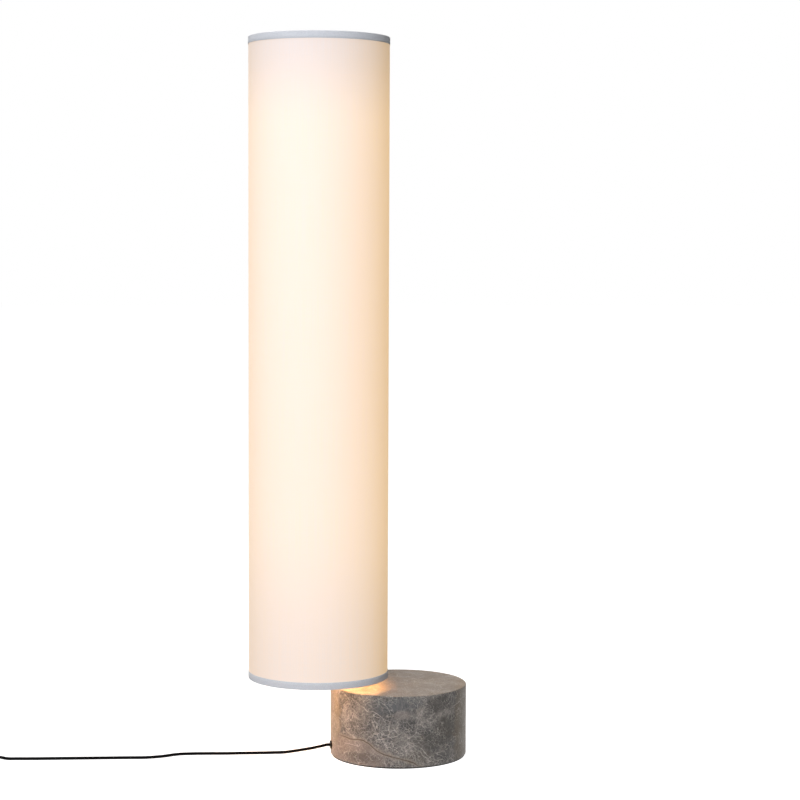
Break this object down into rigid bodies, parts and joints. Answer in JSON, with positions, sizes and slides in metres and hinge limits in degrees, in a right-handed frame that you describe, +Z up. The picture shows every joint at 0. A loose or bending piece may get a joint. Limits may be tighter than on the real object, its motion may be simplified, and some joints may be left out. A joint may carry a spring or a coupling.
{
  "type": "column floor lamp",
  "caption": "Tall cylindrical fabric shade on a slim stem, overhanging a round stone base, lit by a linear lamp tube, with mains cord, foot switch and plug.",
  "frame": {"origin": "middle of the foot pad's underside, on the floor under the axis of the stone base", "axes": "+Z up; the shade's axis lies towards -X, where the cord also leaves the base; +Y completes the right-handed frame"},
  "size_m": [0.9559, 0.253, 1.2],
  "materials": {
    "stone": "honed, softly polished grey marble with pale veins",
    "pad_rubber": "matt",
    "zinc_steel": "zinc plated",
    "black_steel": "black oxide",
    "brass": "turned, satin",
    "bronze": "dark patinated bronze, satin",
    "gland_bronze": "dark olive bronze, satin",
    "black_paint": "fine textured powder coat",
    "frame_white": "white epoxy coated wire",
    "white_plastic": "moulded, fine matt",
    "board_white": "white solder mask",
    "opal_glass": "opal",
    "cap_aluminium": "drawn, satin",
    "liner_film": "translucent film",
    "shade_cotton": "plain woven cotton, off white",
    "edge_tape": "grey-blue grosgrain tape",
    "cord_black": "extruded, satin",
    "core_pvc": "extruded",
    "lead_white": "extruded",
    "black_rubber": "moulded, matt",
    "switch_black": "moulded, fine spark texture",
    "plug_black": "moulded, fine matt",
    "spring_steel": "drawn wire",
    "pin_nickel": "nickel plated",
    "tie_fabric": "woven hook and loop band"
  },
  "bodies": {
    "stand": {"stone_base": "stone", "foot_pad": "pad_rubber", "base_cover": "zinc_steel", "cover_screws": "zinc_steel", "screw_inserts": "brass", "collar_gasket": "pad_rubber", "stem_foot": "bronze", "clamp_washer": "zinc_steel", "clamp_nut": "zinc_steel", "stem_tube": "bronze", "stem_plug": "brass", "arm_screw": "black_steel", "lower_arm": "black_paint", "arm_set_screw": "black_steel", "upper_arm": "black_paint", "nipples": "brass", "frame_nut": "brass", "finial": "brass", "lower_lampholder": "white_plastic", "upper_lampholder": "white_plastic", "shade_liner": "liner_film", "shade_fabric": "shade_cotton", "lower_shade_frame": "frame_white", "upper_shade_frame": "frame_white", "bottom_trim": "edge_tape", "top_trim": "edge_tape", "cord_gland": "gland_bronze", "gland_nut": "zinc_steel", "cord_grip": "white_plastic", "cord_tail": "cord_black", "cord_cores": "core_pvc", "terminal_block": "white_plastic", "terminal_screws": "zinc_steel", "lower_lead": "lead_white", "upper_lead": "lead_white", "cord_run": "cord_black", "switch_reliefs": "black_rubber", "switch_base": "switch_black", "switch_cover": "switch_black", "switch_spring": "spring_steel", "switch_block": "white_plastic", "switch_leads": "cord_black", "switch_screws": "zinc_steel", "switch_feet": "black_rubber", "cord_lead": "cord_black", "cord_coil": "cord_black", "cord_tie": "tie_fabric", "cord_end": "cord_black", "plug_relief": "black_rubber", "plug_body": "plug_black", "plug_pins": "pin_nickel"},
    "lamp": {"lamp_tube": "opal_glass", "light_board": "board_white", "lamp_caps": "cap_aluminium", "lamp_pins": "brass", "lamp_rotors": "white_plastic"},
    "button": {"switch_button": "switch_black"}
  },
  "joints": [
    {"name": "button_press", "type": "slide", "parent": "stand", "child": "button", "axis": [0, 0, -1], "range_m": [0, 0.003], "stiffness_N_per_m": 800, "springref_m": -0.002, "deforming": ["switch_spring"]},
    {"name": "tube_turn", "type": "hinge", "parent": "stand", "child": "lamp", "pos_m": [-0.137, 0, 0.668], "axis": [0, 0, 1], "range_deg": [0, 90]}
  ]
}
